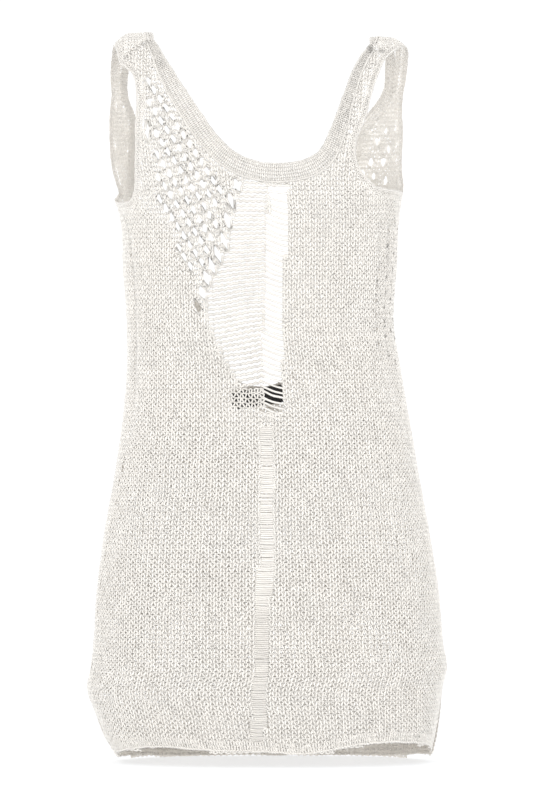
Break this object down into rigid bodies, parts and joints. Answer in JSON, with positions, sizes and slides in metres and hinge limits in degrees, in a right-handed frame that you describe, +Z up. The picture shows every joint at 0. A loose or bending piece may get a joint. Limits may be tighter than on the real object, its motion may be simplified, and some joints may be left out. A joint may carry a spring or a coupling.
{
  "type": "open-knit sleeveless sweater vest, hollow as worn",
  "caption": "Long sleeveless knit vest with a scooped front, deep V back, wide straps, open net at one side and ladders down the front, hollow as worn.",
  "frame": {"origin": "midway between the tops of the two shoulders, where the wearer carries the vest", "axes": "+Z up along the body, -Y out of the front, +X to the right of someone who looks at the front"},
  "size_m": [0.3709, 0.2377, 0.7512],
  "materials": {
    "knit": "matt open knit of slubby ecru yarn",
    "label": "plain black woven tape"
  },
  "bodies": {
    "root": {"front_panel": "knit", "back_panel": "knit", "neckband_front": "knit", "neckband_back": "knit", "armband_left": "knit", "armband_right": "knit", "label": "label"}
  },
  "joints": []
}
